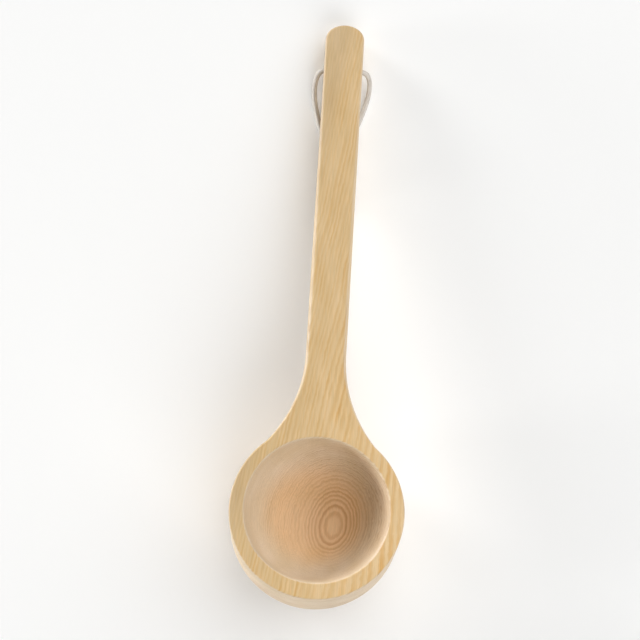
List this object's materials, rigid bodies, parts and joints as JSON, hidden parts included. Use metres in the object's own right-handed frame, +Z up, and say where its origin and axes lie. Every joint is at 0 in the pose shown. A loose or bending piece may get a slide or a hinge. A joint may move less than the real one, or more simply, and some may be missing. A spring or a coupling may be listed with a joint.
{
  "type": "sauna ladle",
  "caption": "Wooden sauna ladle with a round turned bowl, a flared neck, a straight flat-faced handle and a leather hanging thong.",
  "frame": {"origin": "the point on the surface the ladle rests on, under the middle of the wooden piece's box", "axes": "+Y along the ladle towards the handle's end, +X across it to the right seen from above, +Z up; the ladle lies on its back with the bowl open upwards and its front face leaning 9.5 degrees towards the handle's end"},
  "size_m": [0.114, 0.4027, 0.0814],
  "materials": {
    "softwood": "sanded bare pine, satin to matt",
    "thong_leather": "undyed pale grey-brown lace leather, matt"
  },
  "bodies": {
    "root": {"ladle_body": "softwood", "hanging_thong": "thong_leather", "thong_knot": "thong_leather"}
  },
  "joints": []
}
